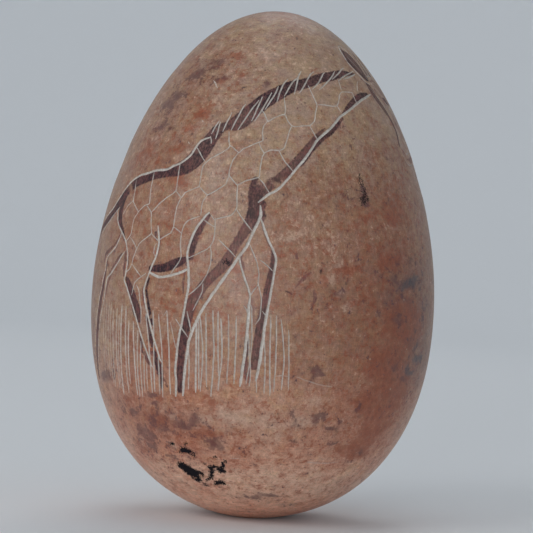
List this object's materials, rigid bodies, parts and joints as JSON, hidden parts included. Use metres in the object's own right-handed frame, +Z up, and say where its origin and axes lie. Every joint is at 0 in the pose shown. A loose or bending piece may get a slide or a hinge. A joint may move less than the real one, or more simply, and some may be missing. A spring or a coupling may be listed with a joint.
{
  "type": "carved stone egg",
  "caption": "Polished soapstone egg with a giraffe standing in tall grass dyed and scratched into its side, standing on a small ground flat.",
  "frame": {"origin": "centre of the small flat on the blunt end that the egg stands on", "axes": "+Z up the egg's long axis to the pointed end, -Y out through the middle of the drawing, +X to the giraffe's head"},
  "size_m": [0.0516, 0.0516, 0.076],
  "materials": {
    "stone": "satin polished mottled soapstone"
  },
  "bodies": {
    "root": {"stone_egg": "stone"}
  },
  "joints": []
}
